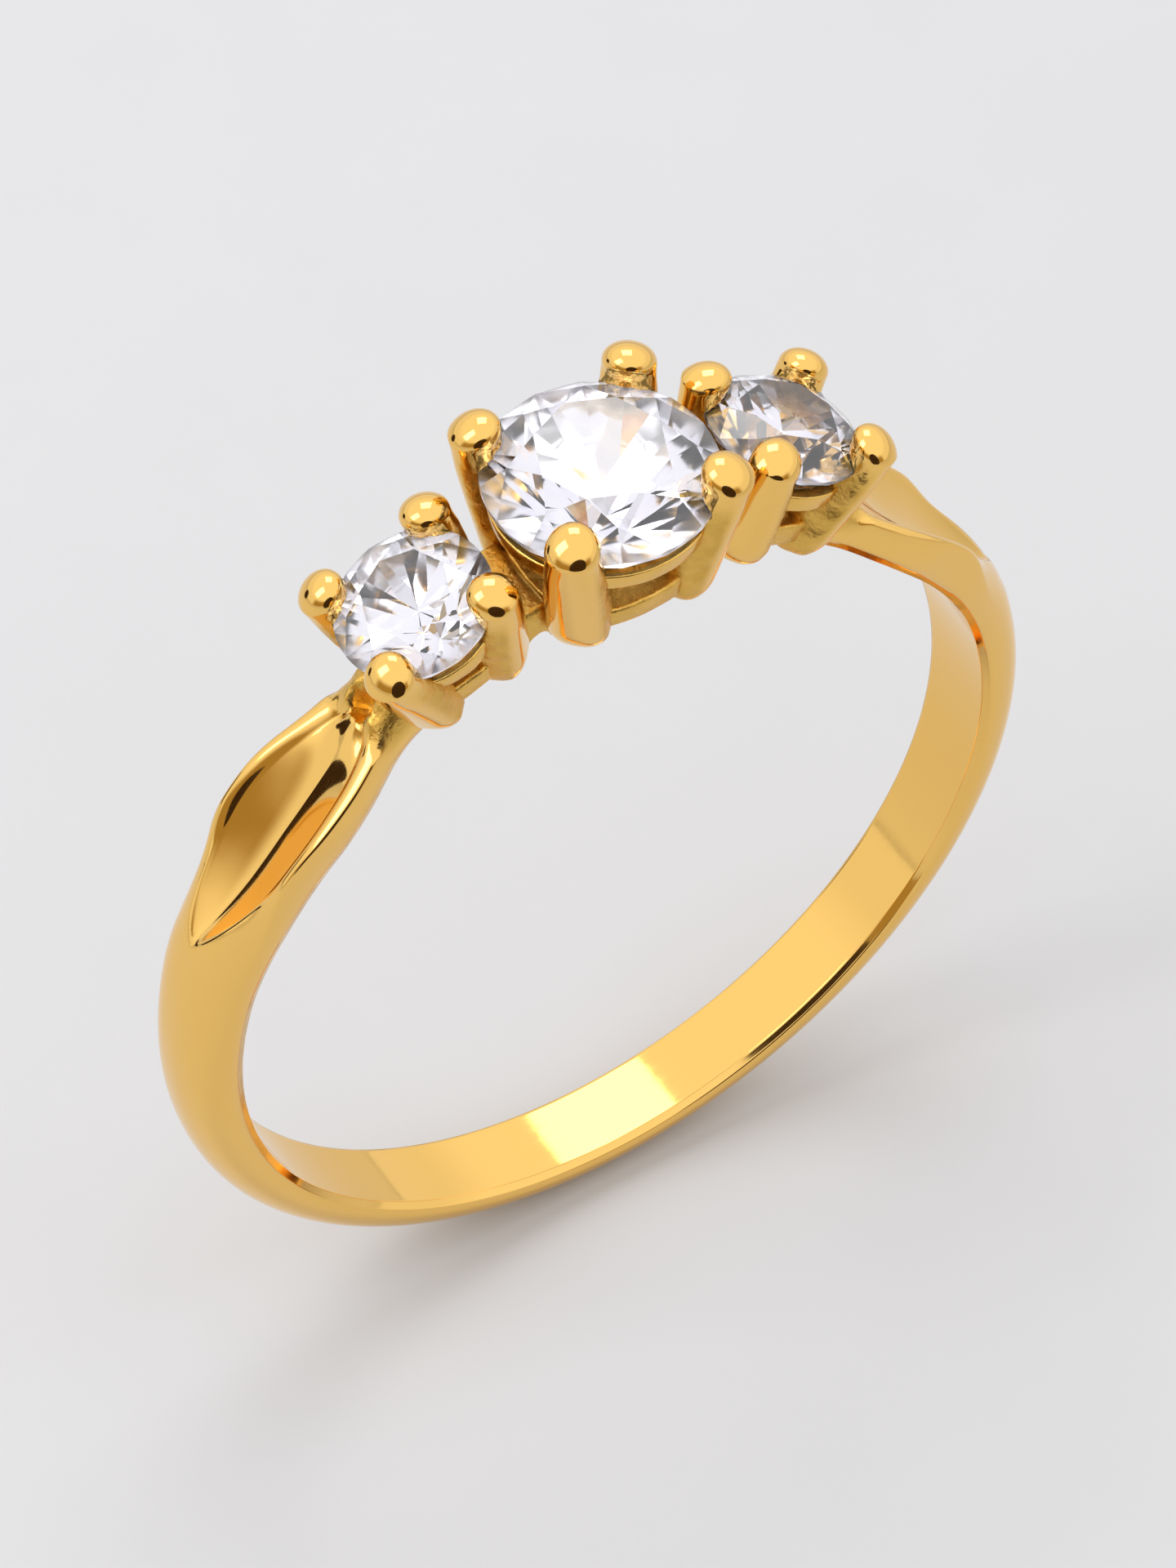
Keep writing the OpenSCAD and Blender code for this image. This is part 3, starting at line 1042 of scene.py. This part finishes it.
@dataclass
class Bridge:
    """The web with an arch under it, between two collets.

    Attributes:
        side: The side of the ring that it stands on.
        angle: Its angle from the middle of the head, in degrees.
        rise: Height of the arch's foot above the finger hole.
        height: Height of the web above that.
        half_l: Half its length along the ring.
        half_w: Half its width across the ring.
        soft: How far its upper edges are softened.
        arch_r: Radius of the arch.
        skin_and_shade: Its share of cast skin and painted shade.
        steps: Sections round the arch.
    """

    side: Side
    angle: float = 12.4
    rise: float = 0.3
    height: float = 0.95
    half_l: float = 0.42
    half_w: float = 0.93
    soft: float = 0.14
    arch_r: float = 0.25
    skin_and_shade: float = 0.9
    steps: int = 32

    def build(self, bench: Bench) -> bpy.types.Object:
        """Spin a slab half round the arch, square its outside, and set it down on the bench."""
        mesh = bmesh.new()
        near, far, half_w = self.arch_r, self.arch_r + self.half_l, self.half_w
        corners = [(near, -half_w), (near, half_w), (far, half_w), (far, -half_w)]
        points = [mesh.verts.new((x, y, 0.0)) for x, y in corners]
        mesh.faces.new(points)
        soften(mesh, points[2:], self.soft, 4)
        spin_all(mesh, "Y", -180.0, self.steps)
        cast_and_shade = mesh.verts.layers.float.new("cast_and_shade")
        for vert in mesh.verts:
            x, y, z = vert.co
            share = (math.hypot(x, z) - self.arch_r) / self.half_l
            turn = math.atan2(z, x)
            along, up = math.cos(turn), math.sin(turn)
            square = Vector((squared(along, 6.0) * self.half_l, 0.0, squared(up, 6.0) * self.height))
            point = Vector((along * self.arch_r, 0.0, up * self.arch_r)).lerp(square, share)
            lump = noise.noise(Vector((point.x * 3.0, y * 3.0, point.z * 3.0)))
            vert.co = (point.x, y + 0.02 * lump, point.z + 0.02 * lump)
            # The web between the collets takes cast skin all over, its colour darkened as painted shade.
            vert[cast_and_shade] = self.skin_and_shade
        lean = Matrix.Rotation(math.radians(self.side.value * self.angle), 4, "Y")
        seat = Matrix.Translation((0.0, 0.0, FINGER_R + self.rise))
        bmesh.ops.transform(mesh, matrix=lean @ seat, verts=mesh.verts)
        name = "left_bridge" if self.side is Side.LEFT else "right_bridge"
        return bench.set_down(mesh, name, Slot.GOLD, SOFT_TURN)


# ---- Studio ----


@dataclass(frozen=True)
class Softbox:
    """A square light that faces the ring.

    Attributes:
        name: The light's name.
        place: Where it hangs, in millimetres.
        width: Its width, in millimetres.
        height: Its height, in millimetres.
        brightness: Its radiance, where a lit white floor is about 1.
        colour: Its colour.
    """

    name: str
    place: Triple
    width: float
    height: float
    brightness: float
    colour: Triple = (1.0, 1.0, 1.0)


@dataclass
class Studio:
    """The floor, the lights, the surrounding light and the camera.

    Attributes:
        floor_z: Height of the floor, in millimetres.
        floor_side: Side of the floor.
        aim: The point that the softboxes face.
        camera_place: Where the camera stands.
        camera_aim: The point that it looks at.
        camera_roll: How far it is rolled, in degrees.
        lens: Its focal length.
        low_light: Colour of the tent low down.
        near_light: The same on the maker's side.
        high_light: Colour of the tent above.
        high_from: Rise of a direction where the upper colour starts.
        high_to: Rise where it is all there is.
        maker_side: The direction of the maker's side.
        near_from: How far a direction faces that side where its colour starts.
        near_to: How far where it is all there is.
        cards: Place and radius of each dark card, in millimetres.
        boxes: The softboxes.
    """

    floor_z: float = -9.51
    floor_side: float = 2400.0
    aim: Triple = (0.0, 0.0, 2.0)
    camera_place: Triple = (-52.261, -79.956, 119.741)
    camera_aim: Triple = (0.4726, 1.0008, 0.8914)
    camera_roll: float = -0.8546
    lens: float = 180.74
    low_light: Colour = (0.95, 0.95, 0.97, 1.0)
    near_light: Colour = (0.42, 0.30, 0.12, 1.0)
    high_light: Colour = (1.12, 1.12, 1.16, 1.0)
    high_from: float = 0.22
    high_to: float = 0.5
    maker_side: Triple = (-0.547, -0.837, 0.0)
    near_from: float = 0.34
    near_to: float = 0.6
    cards: list[tuple[Triple, float]] = field(default_factory=lambda: [
        ((-20.0, -57.0, 20.0), 31.0),
        ((-64.0, 70.0, 4.0), 15.0),
    ])
    boxes: list[Softbox] = field(default_factory=lambda: [
        Softbox("key_box", (45.0, 80.0, 140.0), 80.0, 80.0, 2.4),
        Softbox("top_box", (-95.0, 20.0, 110.0), 60.0, 90.0, 2.6),
    ])

    def lay_floor(self) -> None:
        """Lay the pale floor under the ring."""
        mesh = bmesh.new()
        bmesh.ops.create_grid(mesh, x_segments=2, y_segments=2, size=self.floor_side / 2.0 * MM)
        bmesh.ops.translate(mesh, vec=(0.0, 0.0, self.floor_z * MM), verts=mesh.verts)
        add_object("floor", mesh, PaperFinish("pale_paper").material())

    def hang(self, box: Softbox) -> None:
        """Hang a softbox.

        Args:
            box: The softbox.
        """
        data = bpy.data.lights.new(box.name, "AREA")
        data.shape = "RECTANGLE"
        data.size, data.size_y = box.width * MM, box.height * MM
        data.energy = box.brightness * math.pi * data.size * data.size_y
        data.color = box.colour
        light = bpy.data.objects.new(box.name, data)
        bpy.context.scene.collection.objects.link(light)
        place, aim = Vector(box.place) * MM, Vector(self.aim) * MM
        light.location = place
        light.rotation_euler = (aim - place).to_track_quat("-Z", "Y").to_euler()

    def surround(self) -> None:
        """Make the light tent: bright above and behind, dark low down on the maker's side."""
        world = bpy.data.worlds.new("light_tent")
        world.use_nodes = True
        bpy.context.scene.world = world
        nodes, links = world.node_tree.nodes, world.node_tree.links
        back = nodes["Background"]
        direction = nodes.new("ShaderNodeTexCoord").outputs["Generated"]
        parts = nodes.new("ShaderNodeSeparateXYZ")
        links.new(direction, parts.inputs["Vector"])
        facing = nodes.new("ShaderNodeVectorMath")
        facing.operation = "DOT_PRODUCT"
        facing.inputs[1].default_value = self.maker_side
        links.new(direction, facing.inputs[0])

        def blend(value: Socket, low: float, high: float, colours: tuple) -> Socket:
            """Go smoothly from the first colour to the second as a value goes from low to high."""
            share = nodes.new("ShaderNodeMapRange")
            share.interpolation_type = "SMOOTHSTEP"
            share.inputs["From Min"].default_value, share.inputs["From Max"].default_value = low, high
            links.new(value, share.inputs["Value"])
            both = nodes.new("ShaderNodeMix")
            both.data_type = "RGBA"
            links.new(share.outputs["Result"], both.inputs[0])
            for socket, colour in zip((both.inputs[6], both.inputs[7]), colours):
                if isinstance(colour, Socket):
                    links.new(colour, socket)
                else:
                    socket.default_value = colour
            return both.outputs[2]

        sides = (self.low_light, self.near_light)
        low = blend(facing.outputs["Value"], self.near_from, self.near_to, sides)
        glow = blend(parts.outputs["Z"], self.high_from, self.high_to, (low, self.high_light))
        links.new(glow, back.inputs["Color"])
        back.inputs["Strength"].default_value = 1.0

    def stand_card(self, place: Triple, radius: float, felt: Material) -> None:
        """Stand a round dark card beside the ring, which only reflections show.

        Args:
            place: The card's centre, in millimetres.
            radius: The card's radius, in millimetres.
            felt: The card's material.
        """
        mesh = bmesh.new()
        turn = Matrix.Rotation(math.atan2(place[1], place[0]), 4, "Z")
        stand = turn @ Matrix.Rotation(math.radians(90.0), 4, "Y")
        bmesh.ops.create_circle(mesh, cap_ends=True, segments=48, radius=radius, matrix=stand)
        bmesh.ops.translate(mesh, vec=place, verts=mesh.verts)
        bmesh.ops.scale(mesh, vec=(MM, MM, MM), verts=mesh.verts)
        card = add_object("dark_card", mesh, felt)
        card.visible_camera = card.visible_diffuse = card.visible_shadow = False

    def set_camera(self) -> None:
        """Set up the camera."""
        data = bpy.data.cameras.new("camera")
        data.lens = self.lens
        data.clip_start, data.clip_end = 0.01, 10.0
        camera = bpy.data.objects.new("camera", data)
        bpy.context.scene.collection.objects.link(camera)
        place, aim = Vector(self.camera_place) * MM, Vector(self.camera_aim) * MM
        turn = (aim - place).to_track_quat("-Z", "Y").to_matrix()
        turn = turn @ Matrix.Rotation(-math.radians(self.camera_roll), 3, "Z")
        camera.matrix_world = Matrix.Translation(place) @ turn.to_4x4()
        bpy.context.scene.camera = camera

    def build(self) -> None:
        """Lay the floor, hang the lights and set the camera."""
        self.lay_floor()
        for box in self.boxes:
            self.hang(box)
        self.surround()
        felt = PaperFinish("dark_felt", (0.03, 0.015, 0.01, 1.0), (0.05, 0.03, 0.02, 1.0)).material()
        for place, radius in self.cards:
            self.stand_card(place, radius, felt)
        self.set_camera()
        bpy.context.scene.view_settings.view_transform = "Standard"


def main() -> None:
    """Build the ring piece by piece, then the studio round it."""
    logging.basicConfig(level=logging.INFO, format="%(message)s")
    bench = Bench(GoldFinish("yellow_gold").material(), GemFinish("clear_stone").material())
    Shank().build(bench)
    centre = {"front_left": 225.0, "front_right": 315.0, "back_left": 135.0, "back_right": 45.0}
    left = {"front_outer": 225.0, "front_inner": 315.0, "back_outer": 135.0, "back_inner": 45.0}
    right = {"front_inner": 225.0, "front_outer": 315.0, "back_inner": 135.0, "back_outer": 45.0}
    tilt = 21.86
    for collet in (
        Collet("centre", Side.CENTRE, 4.5, 1.0, 2.76, centre),
        Collet("left", Side.LEFT, 3.12, 0.94, 2.35, left, -tilt),
        Collet("right", Side.RIGHT, 3.12, 0.94, 2.35, right, tilt),
    ):
        LOG.info("%s collet: %d pieces", collet.name, len(collet.build(bench)))
    for side in (Side.LEFT, Side.RIGHT):
        Bridge(side).build(bench)
    Studio().build()


if __name__ == "__main__":
    main()
